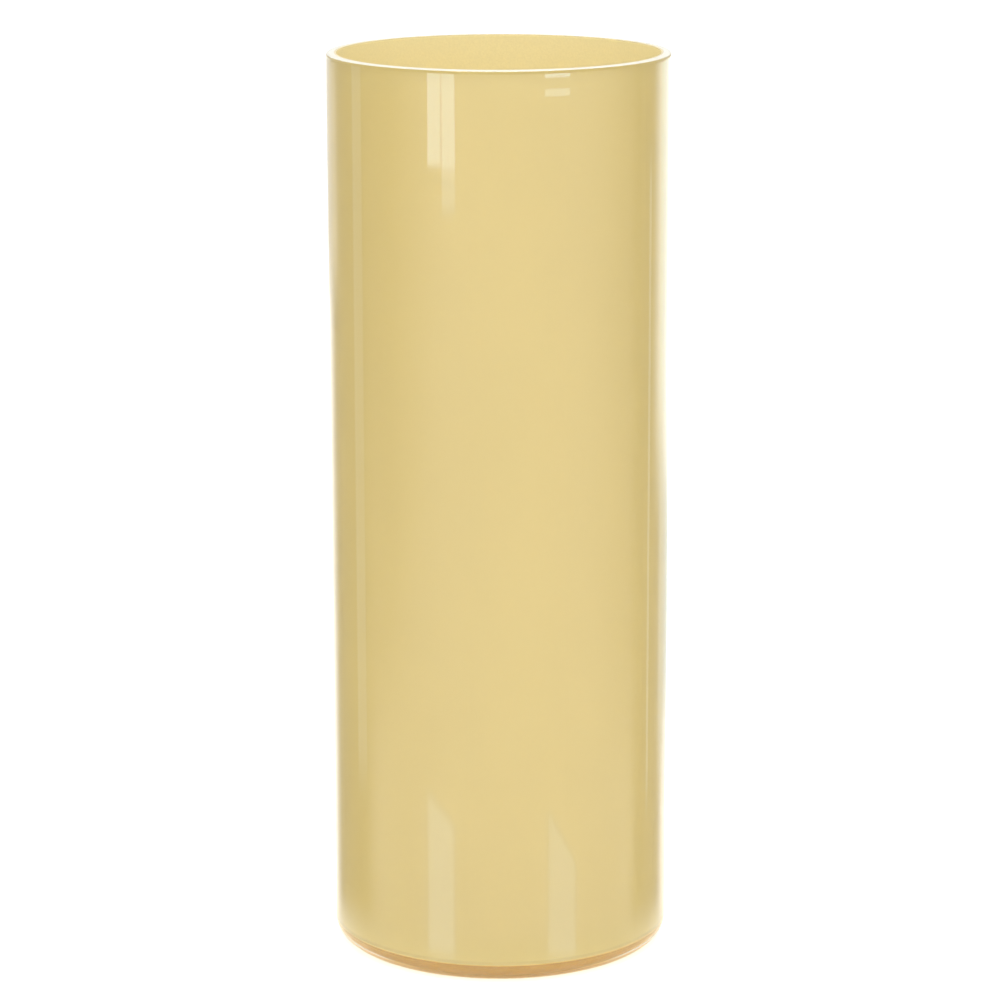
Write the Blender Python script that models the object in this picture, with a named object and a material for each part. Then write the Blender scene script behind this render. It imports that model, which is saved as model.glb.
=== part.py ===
"""A tall glass cylinder vase: a clear glass casing over a thin opaque layer of cream glass.

Metres, +Z up. The origin is the middle of the base, on the surface that the vase stands on.
"""

import math

import bmesh
import bpy

# Overall size
OUTER_DIAMETER = 0.150
HEIGHT = 0.400

# Clear casing
CASING_WALL = 0.0037
CASING_BASE = 0.0074  # from the foot ring up to the edge of the floor
HEEL_RADIUS = 0.0090  # outer corner, where the wall turns under the base
FLOOR_FILLET = 0.0025  # inner corner, where the bore meets the floor
FLOOR_RISE = 0.0045  # from the edge of the floor up to its middle
MIDDLE_WALL = 0.0034  # glass left between the middle of the floor and the push-up under it
RIM_ROUND = 0.0012  # fire-polished outer edge of the rim
FOOT_RING_WIDTH = 0.0120  # flat ring that the vase stands on, inside the heel

# Cream layer, a cup that lines the casing
LAYER_THICKNESS = 0.0006
LAYER_LIP_ROUND = 0.0003  # inner edge of its lip
BOND_GAP = 0.0003  # clearance that keeps the two solids apart; on the real vase they are fused

# How finely the round shapes are cut
TURN_STEPS = 96
CORNER_STEPS = 8
LIP_STEPS = 3
DOME_STEPS = 4
SMOOTH_BELOW = math.radians(40)
WELD = 1e-6

# Values that follow from the sizes above
OUTER_RADIUS = OUTER_DIAMETER / 2
BORE_RADIUS = OUTER_RADIUS - CASING_WALL
LAYER_OUTER_RADIUS = BORE_RADIUS - BOND_GAP
LAYER_INNER_RADIUS = LAYER_OUTER_RADIUS - LAYER_THICKNESS
LAYER_BOTTOM = CASING_BASE + BOND_GAP
LAYER_FLOOR = LAYER_BOTTOM + LAYER_THICKNESS
LAYER_OUTER_FILLET = FLOOR_FILLET - BOND_GAP
LAYER_INNER_FILLET = LAYER_OUTER_FILLET - LAYER_THICKNESS
FOOT_RING_OUTER = OUTER_RADIUS - HEEL_RADIUS
FOOT_RING_INNER = FOOT_RING_OUTER - FOOT_RING_WIDTH
FLOOR_EDGE = BORE_RADIUS - FLOOR_FILLET  # radius where the dome of the floor starts
PUSH_UP_DEPTH = CASING_BASE + FLOOR_RISE - MIDDLE_WALL


def clear_scene():
    for thing in list(bpy.data.objects):
        bpy.data.objects.remove(thing, do_unlink=True)


def arc(centre_radius, centre_height, radius, start, end, steps):
    """Points (radius, height) along an arc, with its angles in degrees from the outward direction."""
    points = []
    for i in range(steps + 1):
        angle = math.radians(start + (end - start) * i / steps)
        away = centre_radius + radius * math.cos(angle)
        height = centre_height + radius * math.sin(angle)
        points.append((away, height))
    return points


def dome(edge_radius, edge_height, rise):
    """Points (radius, height) of a shallow dome, as part of a sphere, from its edge in to the axis."""
    sphere_radius = (edge_radius**2 + rise**2) / (2 * rise)
    centre_height = edge_height + rise - sphere_radius
    points = []
    for i in range(DOME_STEPS + 1):
        radius = edge_radius * (1 - i / DOME_STEPS)
        points.append((radius, centre_height + math.sqrt(sphere_radius**2 - radius**2)))
    return points


def casing_profile():
    """From the axis across the floor, up the bore, over the rim, down the outside and under the base."""
    return [
        *reversed(dome(FLOOR_EDGE, CASING_BASE, FLOOR_RISE)),
        *arc(FLOOR_EDGE, CASING_BASE + FLOOR_FILLET, FLOOR_FILLET, -90, 0, CORNER_STEPS)[1:],
        (BORE_RADIUS, HEIGHT),
        *arc(OUTER_RADIUS - RIM_ROUND, HEIGHT - RIM_ROUND, RIM_ROUND, 90, 0, LIP_STEPS),
        *arc(OUTER_RADIUS - HEEL_RADIUS, HEEL_RADIUS, HEEL_RADIUS, 0, -90, CORNER_STEPS),
        *dome(FOOT_RING_INNER, 0, PUSH_UP_DEPTH),
    ]


def layer_profile():
    """From the axis across the floor, up the inside, over the lip, down the outside and under the floor."""
    return [
        *reversed(dome(FLOOR_EDGE, LAYER_FLOOR, FLOOR_RISE)),
        *arc(
            FLOOR_EDGE,
            LAYER_FLOOR + LAYER_INNER_FILLET,
            LAYER_INNER_FILLET,
            -90,
            0,
            CORNER_STEPS,
        )[1:],
        *arc(
            LAYER_INNER_RADIUS + LAYER_LIP_ROUND,
            HEIGHT - LAYER_LIP_ROUND,
            LAYER_LIP_ROUND,
            180,
            90,
            LIP_STEPS,
        ),
        (LAYER_OUTER_RADIUS, HEIGHT),
        *arc(
            FLOOR_EDGE,
            LAYER_BOTTOM + LAYER_OUTER_FILLET,
            LAYER_OUTER_FILLET,
            0,
            -90,
            CORNER_STEPS,
        ),
        *dome(FLOOR_EDGE, LAYER_BOTTOM, FLOOR_RISE)[1:],
    ]


def turned(name, profile, material):
    """A closed body of revolution about the Z axis, spun from a profile of (radius, height) points."""
    shape = bmesh.new()
    verts = [shape.verts.new((radius, 0, height)) for radius, height in profile]
    edges = [shape.edges.new(pair) for pair in zip(verts, verts[1:])]
    bmesh.ops.spin(
        shape,
        geom=verts + edges,
        cent=(0, 0, 0),
        axis=(0, 0, 1),
        angle=math.tau,
        steps=TURN_STEPS,
        use_merge=True,
    )
    bmesh.ops.remove_doubles(shape, verts=shape.verts, dist=WELD)
    bmesh.ops.recalc_face_normals(shape, faces=shape.faces)
    mesh = bpy.data.meshes.new(name)
    shape.to_mesh(mesh)
    shape.free()
    mesh.materials.append(material)
    mesh.shade_smooth()
    mesh.set_sharp_from_angle(angle=SMOOTH_BELOW)
    piece = bpy.data.objects.new(name, mesh)
    bpy.context.scene.collection.objects.link(piece)
    return piece


def principled(name, colour, roughness):
    material = bpy.data.materials.new(name)
    material.use_nodes = True
    shader = material.node_tree.nodes["Principled BSDF"]
    shader.inputs["Base Color"].default_value = (*colour, 1)
    shader.inputs["Roughness"].default_value = roughness
    shader.inputs["Metallic"].default_value = 0
    return material


def clear_glass():
    material = principled("clear_glass", (0.98, 0.98, 0.96), 0.02)
    shader = material.node_tree.nodes["Principled BSDF"]
    shader.inputs["Transmission Weight"].default_value = 1
    shader.inputs["IOR"].default_value = 1.5
    return material


def cream_glass():
    return principled("cream_glass", (0.75, 0.60, 0.29), 0.35)


def main():
    clear_scene()
    turned("clear_casing", casing_profile(), clear_glass())
    turned("cream_layer", layer_profile(), cream_glass())


main()
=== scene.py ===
"""Looks of the cased glass vase: clear glass over an opaque cream layer, on a pale studio floor."""

import math

import bmesh
import bpy
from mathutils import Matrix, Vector


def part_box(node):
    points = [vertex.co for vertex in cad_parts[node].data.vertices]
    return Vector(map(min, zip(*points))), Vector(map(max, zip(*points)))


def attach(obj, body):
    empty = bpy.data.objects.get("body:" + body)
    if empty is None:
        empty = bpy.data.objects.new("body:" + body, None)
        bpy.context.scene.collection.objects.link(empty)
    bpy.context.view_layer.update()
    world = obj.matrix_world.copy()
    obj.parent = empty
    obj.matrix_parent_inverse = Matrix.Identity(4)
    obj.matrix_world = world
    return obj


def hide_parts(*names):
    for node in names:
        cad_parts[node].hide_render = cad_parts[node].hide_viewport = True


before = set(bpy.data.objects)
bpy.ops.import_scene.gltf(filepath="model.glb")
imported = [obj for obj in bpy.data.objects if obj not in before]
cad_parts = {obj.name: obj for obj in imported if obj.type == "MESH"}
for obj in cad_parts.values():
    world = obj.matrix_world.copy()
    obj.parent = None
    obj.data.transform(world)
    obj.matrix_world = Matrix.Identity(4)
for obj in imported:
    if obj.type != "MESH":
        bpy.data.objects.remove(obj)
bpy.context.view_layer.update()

# Sizes read from the frame, in metres
_, CASING_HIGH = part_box("clear_casing")
LAYER_LOW, LAYER_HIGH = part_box("cream_layer")
HEIGHT = CASING_HIGH.z
OUTER_RADIUS = CASING_HIGH.x
LAYER_OUTER_RADIUS = LAYER_HIGH.x
LAYER_BOTTOM = LAYER_LOW.z

# Sizes that the boxes don't hold, as the CAD has them
BOND_GAP = 0.0003
LAYER_THICKNESS = 0.0006
LAYER_LIP_ROUND = 0.0003
HEEL_RADIUS = 0.0090
FLOOR_FILLET = 0.0025
FLOOR_RISE = 0.0045
MIDDLE_WALL = 0.0034
RIM_ROUND = 0.0012
FOOT_RING_WIDTH = 0.0120

# Sizes that follow from those
BORE_RADIUS = LAYER_OUTER_RADIUS + BOND_GAP
CASING_BASE = LAYER_BOTTOM - BOND_GAP
FLOOR_EDGE = BORE_RADIUS - FLOOR_FILLET
FOOT_RING_INNER = OUTER_RADIUS - HEEL_RADIUS - FOOT_RING_WIDTH
PUSH_UP_DEPTH = CASING_BASE + FLOOR_RISE - MIDDLE_WALL
BOND_DEPTH = 0.00005  # how far the cream sinks into the glass, so that no air lies between them

# How finely the round shapes are cut
TURN_STEPS = 256
CORNER_STEPS = 16
LIP_STEPS = 6
DOME_STEPS = 8
STRAIGHT_EDGE = 0.0008  # a ring this far along each straight wall, so that its shading starts flat
SMOOTH_BELOW = math.radians(40)
WELD = 1e-6


def arc(centre_radius, centre_height, radius, start, end, steps):
    """Points (radius, height) along an arc, with its angles in degrees from the outward direction."""
    points = []
    for i in range(steps + 1):
        angle = math.radians(start + (end - start) * i / steps)
        away = centre_radius + radius * math.cos(angle)
        height = centre_height + radius * math.sin(angle)
        points.append((away, height))
    return points


def dome(edge_radius, edge_height, rise):
    """Points (radius, height) of a shallow dome, as part of a sphere, from its edge in to the axis."""
    sphere_radius = (edge_radius**2 + rise**2) / (2 * rise)
    centre_height = edge_height + rise - sphere_radius
    points = []
    for i in range(DOME_STEPS + 1):
        radius = edge_radius * (1 - i / DOME_STEPS)
        points.append((radius, centre_height + math.sqrt(sphere_radius**2 - radius**2)))
    return points


def turned(name, profile, materials, slot_of):
    """A closed body of revolution about the Z axis from a profile of (radius, height) points."""
    shape = bmesh.new()
    verts = [shape.verts.new((radius, 0, height)) for radius, height in profile]
    edges = [shape.edges.new(pair) for pair in zip(verts, verts[1:])]
    bmesh.ops.spin(
        shape,
        geom=verts + edges,
        cent=(0, 0, 0),
        axis=(0, 0, 1),
        angle=math.tau,
        steps=TURN_STEPS,
        use_merge=True,
    )
    bmesh.ops.remove_doubles(shape, verts=shape.verts, dist=WELD)
    bmesh.ops.recalc_face_normals(shape, faces=shape.faces)
    for face in shape.faces:
        face.material_index = slot_of(face)
    mesh = bpy.data.meshes.new(name)
    shape.to_mesh(mesh)
    shape.free()
    for material in materials:
        mesh.materials.append(material)
    mesh.shade_smooth()
    mesh.set_sharp_from_angle(angle=SMOOTH_BELOW)
    piece = bpy.data.objects.new(name, mesh)
    bpy.context.scene.collection.objects.link(piece)
    return piece


# ---------------------------------------------------------------- materials

CREAM = (0.822, 0.656, 0.258)
# Painted shade: the cream is darker on the lower corner, which turns partly down
CORNER_PAINTED_SHADE = (0.73, 0.58, 0.235)
# Painted sheen: the inside of the cream is paler and lighter than the same cream behind the glass
CREAM_INSIDE_PAINTED_SHEEN = (0.89, 0.785, 0.435)
CREAM_LIP = (0.62, 0.52, 0.28)
# Painted shade with a painted amber glow on the cream layer's underside, which faces down into the clear
# base
TAN_PAINTED_SHADE = (0.88, 0.60, 0.19)
CLEAR = (1.0, 1.0, 1.0)
# Painted highlight: the rim's upward faces are a little frosted and painted white
RIM_PAINTED_HIGHLIGHT = (0.75, 0.745, 0.67)
GLASS_IOR = 1.5
NOISE_LOW = 0.3  # most of a noise lies between these two values
NOISE_HIGH = 0.7


def new_material(name, colour, roughness):
    """A material with one Principled shader, and its node tree and shader."""
    material = bpy.data.materials.new(name)
    material.use_nodes = True
    tree = material.node_tree
    shader = tree.nodes["Principled BSDF"]
    shader.inputs["Base Color"].default_value = (*colour, 1)
    shader.inputs["Roughness"].default_value = roughness
    shader.inputs["IOR"].default_value = GLASS_IOR
    return material, tree, shader


def noise(tree, scale, detail=2, stretch=(1, 1, 1)):
    """The 0 to 1 output of a noise in the object's own metres, with scale features to the metre."""
    place = tree.nodes.new("ShaderNodeTexCoord")
    squeeze = tree.nodes.new("ShaderNodeMapping")
    squeeze.inputs["Scale"].default_value = stretch
    pattern = tree.nodes.new("ShaderNodeTexNoise")
    pattern.inputs["Scale"].default_value = scale
    pattern.inputs["Detail"].default_value = detail
    tree.links.new(place.outputs["Object"], squeeze.inputs["Vector"])
    tree.links.new(squeeze.outputs["Vector"], pattern.inputs["Vector"])
    return pattern.outputs["Fac"]


def mottle(tree, shader, pattern, colour, change):
    """Base colour that drifts between darker and lighter than colour, by the share change."""
    spread = tree.nodes.new("ShaderNodeMapRange")
    spread.inputs["From Min"].default_value = NOISE_LOW
    spread.inputs["From Max"].default_value = NOISE_HIGH
    blend = tree.nodes.new("ShaderNodeMix")
    blend.data_type = "RGBA"
    blend.inputs["A"].default_value = (*(part * (1 - change) for part in colour), 1)
    blend.inputs["B"].default_value = (*(min(part * (1 + change), 1) for part in colour), 1)
    tree.links.new(pattern, spread.inputs["Value"])
    tree.links.new(spread.outputs["Result"], blend.inputs["Factor"])
    tree.links.new(blend.outputs["Result"], shader.inputs["Base Color"])


def bump(tree, shader, pattern, depth, strength):
    """Relief of the pattern, depth metres deep, of which strength is the share that shows."""
    relief = tree.nodes.new("ShaderNodeBump")
    relief.inputs["Strength"].default_value = strength
    relief.inputs["Distance"].default_value = depth
    tree.links.new(pattern, relief.inputs["Height"])
    tree.links.new(relief.outputs["Normal"], shader.inputs["Normal"])


def clear_glass():
    """Clear blown glass: fire-polished, with the slight waviness of a hand-made wall."""
    material, tree, shader = new_material("casing_glass", CLEAR, roughness=0)
    shader.inputs["Transmission Weight"].default_value = 1
    waves = noise(tree, scale=14, detail=1, stretch=(1, 1, 0.35))
    bump(tree, shader, waves, depth=0.0002, strength=0.15)
    return material


def rim_glass():
    """The cut and fire-polished rim, a little frosted and painted white on its upward faces as a painted
    highlight, so it shows as a white ring.
    """
    material, tree, shader = new_material("casing_rim", RIM_PAINTED_HIGHLIGHT, roughness=0.3)
    shader.inputs["Transmission Weight"].default_value = 0.3
    bump(tree, shader, noise(tree, scale=300), depth=0.0001, strength=0.2)
    return material


def bare_cream():
    """The bare inside of the cream glass: satin, with a fine grain, its colour painted paler and lighter
    than the cream behind the glass as a painted sheen.
    """
    material, tree, shader = new_material("cream_inside_painted_sheen", CREAM_INSIDE_PAINTED_SHEEN, roughness=0.45)
    grain = noise(tree, scale=1100)
    mottle(tree, shader, grain, CREAM_INSIDE_PAINTED_SHEEN, change=0.025)
    bump(tree, shader, grain, depth=0.0002, strength=0.3)
    return material


def fused_cream(name, colour, scale, stretch, change):
    """Cream glass that is fused to the clear glass, so it has no surface gloss of its own."""
    material, tree, shader = new_material(name, colour, roughness=1)
    shader.inputs["Specular IOR Level"].default_value = 0
    mottle(tree, shader, noise(tree, scale, detail=3, stretch=stretch), colour, change)
    return material


def lip_cream():
    """The cut edge of the cream glass at the rim, where it looks a little darker."""
    material, tree, shader = new_material("cream_lip", CREAM_LIP, roughness=0.35)
    mottle(tree, shader, noise(tree, scale=300, detail=3), CREAM_LIP, change=0.05)
    return material


# ---------------------------------------------------------------- vase

# Material slots of the casing and of the layer
GLASS, RIM = range(2)
INSIDE, WALL, UNDERSIDE, LIP, CORNER = range(5)

# Limits of a face's normal.z
# The rim's upward faces are a little frosted and painted white as a highlight
RIM_FACES_UP = 0.7  # at least this on the frosted rim
UNDERSIDE_FACES_DOWN = -0.9  # at most this on the layer's underside
CORNER_FACES_DOWN = -0.1  # at most this on its lower corner
WALL_FACES_ASIDE = 0.9  # less than this, up or down, on its outer wall


def casing():
    """The clear outer glass, with a frosted rim painted white as a highlight and a hollow under the foot.
    """
    profile = [
        *reversed(dome(FLOOR_EDGE, CASING_BASE, FLOOR_RISE)[1:]),
        *arc(FLOOR_EDGE, CASING_BASE + FLOOR_FILLET, FLOOR_FILLET, -90, 0, CORNER_STEPS),
        (BORE_RADIUS, HEIGHT),
        *arc(OUTER_RADIUS - RIM_ROUND, HEIGHT - RIM_ROUND, RIM_ROUND, 90, 0, LIP_STEPS),
        (OUTER_RADIUS, HEIGHT - RIM_ROUND - STRAIGHT_EDGE),
        (OUTER_RADIUS, HEEL_RADIUS + STRAIGHT_EDGE),
        *arc(OUTER_RADIUS - HEEL_RADIUS, HEEL_RADIUS, HEEL_RADIUS, 0, -90, CORNER_STEPS),
        *dome(FOOT_RING_INNER, 0, PUSH_UP_DEPTH),
    ]

    def slot_of(face):
        """The rim's look, a little frosted and painted white as a highlight, on its flat and on the upper
        part of its rounded edge.
        """
        at_rim = face.calc_center_median().z > HEIGHT - RIM_ROUND
        return RIM if at_rim and face.normal.z > RIM_FACES_UP else GLASS

    piece = turned("glass_casing", profile, [clear_glass(), rim_glass()], slot_of)
    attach(piece, "root")
    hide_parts("clear_casing")


def layer():
    """The opaque cream glass that lines the bore and the floor."""
    outer = BORE_RADIUS + BOND_DEPTH
    inner = LAYER_OUTER_RADIUS - LAYER_THICKNESS
    bottom = CASING_BASE - BOND_DEPTH
    floor_top = LAYER_BOTTOM + LAYER_THICKNESS
    outer_fillet = FLOOR_FILLET + BOND_DEPTH
    inner_fillet = FLOOR_FILLET - BOND_GAP - LAYER_THICKNESS
    lip_bottom = HEIGHT - LAYER_LIP_ROUND
    profile = [
        *reversed(dome(FLOOR_EDGE, floor_top, FLOOR_RISE)[1:]),
        *arc(FLOOR_EDGE, floor_top + inner_fillet, inner_fillet, -90, 0, CORNER_STEPS),
        (inner, floor_top + inner_fillet + STRAIGHT_EDGE),
        (inner, lip_bottom - STRAIGHT_EDGE),
        *arc(inner + LAYER_LIP_ROUND, lip_bottom, LAYER_LIP_ROUND, 180, 90, LIP_STEPS),
        (outer, HEIGHT),
        *arc(FLOOR_EDGE, bottom + outer_fillet, outer_fillet, 0, -90, CORNER_STEPS),
        *dome(FLOOR_EDGE, bottom, FLOOR_RISE)[1:],
    ]

    def slot_of(face):
        centre = face.calc_center_median()
        # Faces turned down carry painted shade: the underside is painted tan with an amber glow
        if face.normal.z < UNDERSIDE_FACES_DOWN:
            return UNDERSIDE
        # The lower corner, turned partly down, is painted darker as shade
        if face.normal.z < CORNER_FACES_DOWN:
            return CORNER
        if centre.z > lip_bottom:
            return LIP
        outside = math.hypot(centre.x, centre.y) > (outer + inner) / 2
        return WALL if outside and abs(face.normal.z) < WALL_FACES_ASIDE else INSIDE

    looks = [
        bare_cream(),
        fused_cream("cream_behind_glass", CREAM, scale=16, stretch=(1, 1, 0.3), change=0.02),
        # The underside's tan is painted shade with a painted amber glow
        fused_cream("cream_underside_painted_shade", TAN_PAINTED_SHADE, scale=30, stretch=(1, 1, 1), change=0.04),
        lip_cream(),
        # The corner's darker cream is painted shade
        fused_cream("cream_corner_painted_shade", CORNER_PAINTED_SHADE, scale=16, stretch=(1, 1, 1), change=0.02),
    ]
    piece = turned("cream_lining", profile, looks, slot_of)
    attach(piece, "root")
    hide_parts("cream_layer")


# ---------------------------------------------------------------- studio

CAMERA_DISTANCE = 1.6465
CAMERA_HEIGHT = 0.5791
CAMERA_LENS = 136.67
CAMERA_SENSOR = 36
CAMERA_TILT = 12.95  # this and the next two in degrees
CAMERA_ROLL = 0.10
CAMERA_TURN = -0.03

FLOOR_SIZE = 24
FLOOR_COLOUR = (0.85, 0.85, 0.85)
TABLE_GLOW_COLOUR = (0.86, 0.93, 1.0)
CENTRE_GLOW = 0.60
CENTRE_SPREAD = 0.6  # how much wider the lit strip gets for each metre in front of or behind the vase
CENTRE_EDGE = (0.22, 0.6)  # where its glow starts to fall and where it ends, beside the vase
FRONT_GLOW = 0.1
FRONT_TURN = math.radians(15)  # the bright front of the table lies a little to the right
FRONT_EDGE = (-0.05, 0.7)  # cosines of the angles from that turn where its glow starts and is full
FRONT_START = (0.2, 1.2)  # distances from the axis where it starts and is full
AT_AXIS = 0.01  # the least distance that a direction is worked out for

WORLD_LIGHT = 0.85


def maths(tree, operation, *values):
    """One Math node; each value is a number or a socket."""
    node = tree.nodes.new("ShaderNodeMath")
    node.operation = operation
    for socket, value in zip(node.inputs, values):
        if isinstance(value, (int, float)):
            socket.default_value = value
        else:
            tree.links.new(value, socket)
    return node.outputs[0]


def smooth(tree, value, edge, start, end):
    """start up to the first value of edge, end from its second on, with a soft turn at both."""
    fade = tree.nodes.new("ShaderNodeMapRange")
    fade.interpolation_type = "SMOOTHSTEP"
    fade.inputs["From Min"].default_value = edge[0]
    fade.inputs["From Max"].default_value = edge[1]
    fade.inputs["To Min"].default_value = start
    fade.inputs["To Max"].default_value = end
    tree.links.new(value, fade.inputs["Value"])
    return fade.outputs["Result"]


def floor():
    """A pale table, lit from below around the vase and brighter still in front of it."""
    bpy.ops.mesh.primitive_plane_add(size=FLOOR_SIZE)
    plane = bpy.context.object
    plane.name = "floor"
    material, tree, shader = new_material("studio_floor", FLOOR_COLOUR, roughness=0.6)
    shader.inputs["Specular IOR Level"].default_value = 0.1
    place = tree.nodes.new("ShaderNodeTexCoord")
    split = tree.nodes.new("ShaderNodeSeparateXYZ")
    tree.links.new(place.outputs["Object"], split.inputs[0])
    x, y = split.outputs["X"], split.outputs["Y"]

    beside = maths(tree, "ABSOLUTE", x)
    along = maths(tree, "ABSOLUTE", y)
    aside = maths(tree, "MULTIPLY_ADD", along, -CENTRE_SPREAD, beside)
    centre = smooth(tree, aside, CENTRE_EDGE, CENTRE_GLOW, 0)

    x_squared = maths(tree, "MULTIPLY", x, x)
    y_squared = maths(tree, "MULTIPLY", y, y)
    away = maths(tree, "SQRT", maths(tree, "ADD", x_squared, y_squared))
    right = maths(tree, "MULTIPLY", x, math.sin(FRONT_TURN))
    back = maths(tree, "MULTIPLY", y, math.cos(FRONT_TURN))
    forward = maths(tree, "SUBTRACT", right, back)
    facing = maths(tree, "DIVIDE", forward, maths(tree, "MAXIMUM", away, AT_AXIS))
    lobe = smooth(tree, facing, FRONT_EDGE, 0, FRONT_GLOW)
    front = maths(tree, "MULTIPLY", lobe, smooth(tree, away, FRONT_START, 0, 1))

    tree.links.new(maths(tree, "ADD", centre, front), shader.inputs["Emission Strength"])
    shader.inputs["Emission Color"].default_value = (*TABLE_GLOW_COLOUR, 1)
    plane.data.materials.append(material)


def softbox(name, place, aim, side, power):
    """A square white area light that the camera doesn't see."""
    lamp = bpy.data.lights.new(name, "AREA")
    lamp.shape = "SQUARE"
    lamp.size = side
    lamp.energy = power
    holder = bpy.data.objects.new(name, lamp)
    holder.location = place
    holder.rotation_mode = "QUATERNION"
    holder.rotation_quaternion = (Vector(aim) - Vector(place)).to_track_quat("-Z", "Y")
    holder.visible_camera = False
    bpy.context.scene.collection.objects.link(holder)
    return holder


def lights():
    """An even white world, a softbox above and a weak fill from behind."""
    world = bpy.data.worlds.new("studio")
    world.use_nodes = True
    world.node_tree.nodes["Background"].inputs["Color"].default_value = (1, 1, 1, 1)
    world.node_tree.nodes["Background"].inputs["Strength"].default_value = WORLD_LIGHT
    bpy.context.scene.world = world
    softbox("overhead", place=(0, -0.5, 2.3), aim=(0, -0.1, 0), side=1.6, power=37)
    fill = softbox("back_fill", place=(0, 1.7, 1.5), aim=(0, 0, 0.2), side=1.6, power=12)
    fill.visible_glossy = False


# The light cards lie on the table and only gloss sees them: they are the windows and the bright table
# that the vase's outer wall mirrors. Turns on the wall are in degrees from the front, heights in metres.
CARD_COLUMNS = 24  # from side to side
CARD_ROWS = 96  # from the vase outwards
WHITE = (1, 1, 1)
DAYLIGHT = (0.72, 0.86, 1.0)
EDGE_WHITE = (0.88, 0.97, 1.0)

# Heights on the wall where mirror images start or end
POOL_FOOT = 0.002
FOOT = 0.004
ABOVE_RIM = 0.42
FAR_AWAY = 0.50  # so far out on the table that no end shows from behind either

# Turns on the wall where the windows are mirrored
OUTER_PANE = (-23.6, -18.8)
INNER_PANE = (-18.7, -14.1)
RIGHT_WINDOW = (14.6, 23.5)

# Shares of a card that fade at each side and at each end
TABLE_SOFT = (0.3, 0.05)
EDGE_SOFT = (0.3, 0.3)
PANE_SOFT = (0.05, 0.036)
POOL_SOFT = (0.2, 0.14)

# Heights off the table, so that a card lies over the ones that it covers
FRONT_LIFT = 0.001
FLAG_LIFT = 0.002
LOW_EDGE_LIFT = 0.0025
EDGE_LIFT = 0.003
WINDOW_LIFT = 0.005
INNER_PANE_LIFT = 0.006


def card_material(name, colour, strength):
    """Light of one strength, which fades to clear where the mesh's cover attribute falls to 0."""
    material = bpy.data.materials.new(name)
    material.use_nodes = True
    tree = material.node_tree
    tree.nodes.clear()
    cover = tree.nodes.new("ShaderNodeAttribute")
    cover.attribute_name = "cover"
    clear = tree.nodes.new("ShaderNodeBsdfTransparent")
    light = tree.nodes.new("ShaderNodeEmission")
    light.inputs["Color"].default_value = (*colour, 1)
    light.inputs["Strength"].default_value = strength
    both = tree.nodes.new("ShaderNodeMixShader")
    out = tree.nodes.new("ShaderNodeOutputMaterial")
    tree.links.new(cover.outputs["Fac"], both.inputs[0])
    tree.links.new(clear.outputs[0], both.inputs[1])
    tree.links.new(light.outputs[0], both.inputs[2])
    tree.links.new(both.outputs[0], out.inputs["Surface"])
    return material


def mirrored_point(turn, height):
    """Where the table is seen from the camera in the wall's mirror, at this turn and height of the wall."""
    wall = Vector((OUTER_RADIUS * math.sin(turn), -OUTER_RADIUS * math.cos(turn)))
    normal = wall.normalized()
    sight = wall - Vector((0, -CAMERA_DISTANCE))
    mirrored = sight - 2 * sight.dot(normal) * normal
    reach = height / (CAMERA_HEIGHT - height)
    return wall + mirrored * reach


def softened(share, edge):
    """0 at both ends of a 0..1 share, 1 between them, with a smooth step of width edge at each."""
    near_end = min(share, 1 - share)
    step = min(near_end / edge, 1)
    return step * step * (3 - 2 * step)


def card(name, turns, low, high, strength, colour=WHITE, soft=(0.1, 0.1), lift=WINDOW_LIFT):
    """A light card on the table, laid out where the wall mirrors it for the camera.

    turns are the wall's turns at the card's two sides. low is the wall's height where its mirror image
    starts, and high is where the image ends, at the first side and the second. soft is the share of the
    card that fades at each side and at each end, and lift is its height off the table.
    """
    shape = bmesh.new()
    cover = shape.verts.layers.float.new("cover")
    rows = []
    for i in range(CARD_COLUMNS + 1):
        across = i / CARD_COLUMNS
        turn = math.radians(turns[0] + (turns[1] - turns[0]) * across)
        top = high[0] + (high[1] - high[0]) * across
        row = []
        for j in range(CARD_ROWS + 1):
            up = j / CARD_ROWS
            spot = mirrored_point(turn, low + (top - low) * up)
            vert = shape.verts.new((spot.x, spot.y, lift))
            vert[cover] = softened(across, soft[0]) * softened(up, soft[1])
            row.append(vert)
        rows.append(row)
    for left, right in zip(rows, rows[1:]):
        for j in range(CARD_ROWS):
            shape.faces.new((left[j], right[j], right[j + 1], left[j + 1]))
    mesh = bpy.data.meshes.new(name)
    shape.to_mesh(mesh)
    shape.free()
    mesh.materials.append(card_material(name, colour, strength))
    piece = bpy.data.objects.new(name, mesh)
    bpy.context.scene.collection.objects.link(piece)
    piece.visible_camera = False
    piece.visible_diffuse = False
    piece.visible_transmission = False
    piece.visible_shadow = False


def level(height):
    """The same height at both sides of a card."""
    return (height, height)


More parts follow.
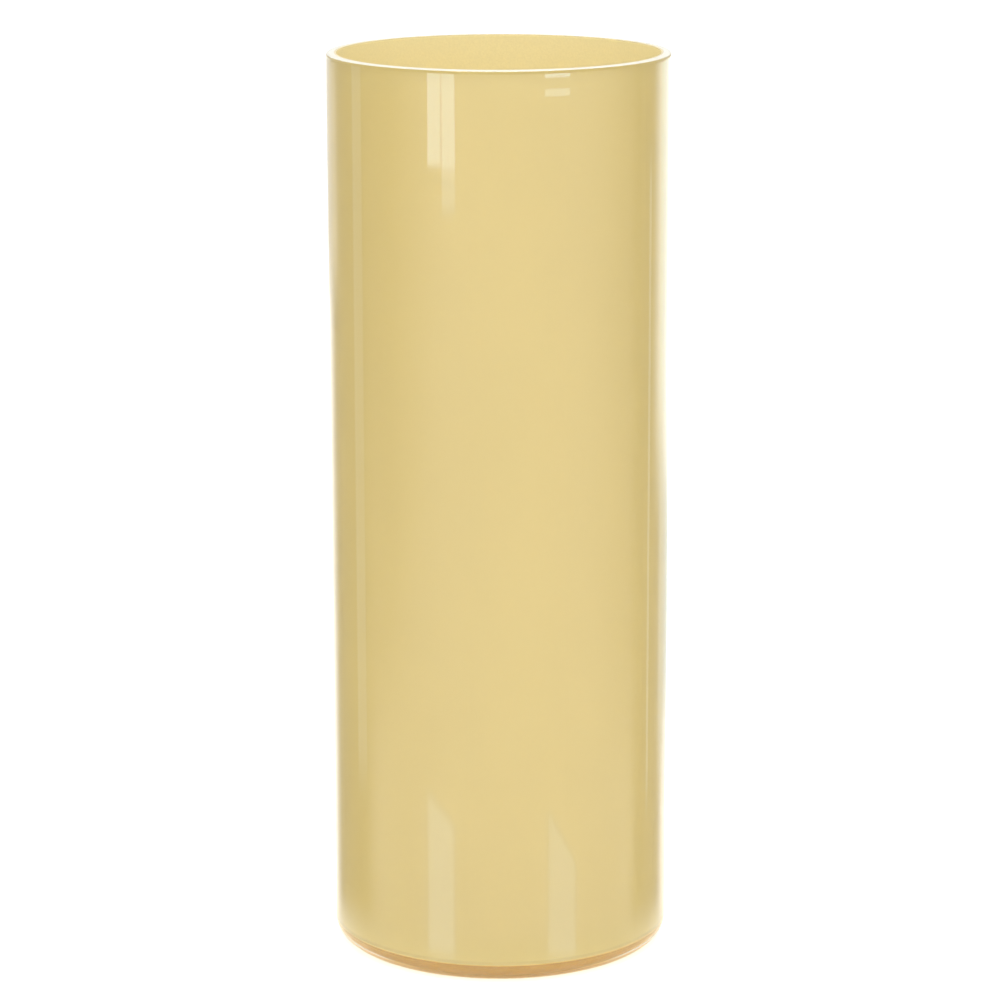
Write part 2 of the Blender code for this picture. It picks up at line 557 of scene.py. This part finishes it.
def table_cards():
    """The bright front of the table, the darker table beside it and the pale edges behind the vase."""
    far = level(FAR_AWAY)
    card("bright_front", (-42, 54), FOOT, far, strength=2.4, soft=TABLE_SOFT, lift=FRONT_LIFT)
    card("flag_left", (-79, -43), FOOT, far, strength=0.5, soft=TABLE_SOFT, lift=FLAG_LIFT)
    card("flag_right", (47, 75), FOOT, far, strength=0.6, soft=TABLE_SOFT, lift=FLAG_LIFT)
    card("edge_left", (-88, -64), 0.28, level(ABOVE_RIM), strength=1.1, soft=EDGE_SOFT, lift=EDGE_LIFT)
    card("edge_right", (60, 89), 0.18, level(0.48), 2.3, EDGE_WHITE, EDGE_SOFT, EDGE_LIFT)
    card("edge_right_low", (66, 89), 0.06, level(0.27), 1.3, EDGE_WHITE, (0.2, 0.35), LOW_EDGE_LIFT)


def window_cards():
    """The windows at the top of the wall, the thin streaks along its sides and the pools above its foot."""
    top = level(FAR_AWAY)
    card("window_left_outer", OUTER_PANE, 0.355, top, 6.8, DAYLIGHT, PANE_SOFT)
    card("window_left_inner", INNER_PANE, 0.353, top, 6.8, DAYLIGHT, PANE_SOFT, INNER_PANE_LIFT)
    card("window_left_tail", INNER_PANE, 0.333, level(0.40), 4.3, DAYLIGHT, soft=(0.05, 0.15))
    card("window_right", RIGHT_WINDOW, 0.3945, top, 8.4, DAYLIGHT, soft=(0.03, 0.01))
    card("window_right_low", RIGHT_WINDOW, 0.3868, level(0.3908), 5.8, DAYLIGHT, soft=(0.03, 0.2))
    card("thin_left", (-56.5, -50.7), 0.065, top, 1.25, DAYLIGHT, soft=(0.1, 0.08))
    card("thin_right", (59.0, 60.6), 0.052, level(0.371), 1.5, DAYLIGHT)
    card("pool_left", (-26.0, -14.2), POOL_FOOT, (0.090, 0.071), 4.2, DAYLIGHT, POOL_SOFT)
    card("pool_right", (14.8, 27.4), POOL_FOOT, (0.084, 0.049), 3.8, DAYLIGHT, POOL_SOFT)


def camera():
    """A long lens a little above the rim, aimed down at the vase's middle."""
    data = bpy.data.cameras.new("camera")
    data.sensor_width = CAMERA_SENSOR
    data.lens = CAMERA_LENS
    view = bpy.data.objects.new("camera", data)
    view.location = (0, -CAMERA_DISTANCE, CAMERA_HEIGHT)
    view.rotation_euler = (
        math.radians(90 - CAMERA_TILT),
        math.radians(CAMERA_ROLL),
        math.radians(CAMERA_TURN),
    )
    bpy.context.scene.collection.objects.link(view)
    bpy.context.scene.camera = view


def light_paths():
    """Enough bounces for light to find its way through the clear base and out of the mouth."""
    paths = bpy.context.scene.cycles
    paths.max_bounces = 24
    paths.transmission_bounces = 24
    paths.glossy_bounces = 12
    paths.diffuse_bounces = 8


casing()
layer()
floor()
lights()
table_cards()
window_cards()
camera()
light_paths()
bpy.context.scene.view_settings.view_transform = "Standard"
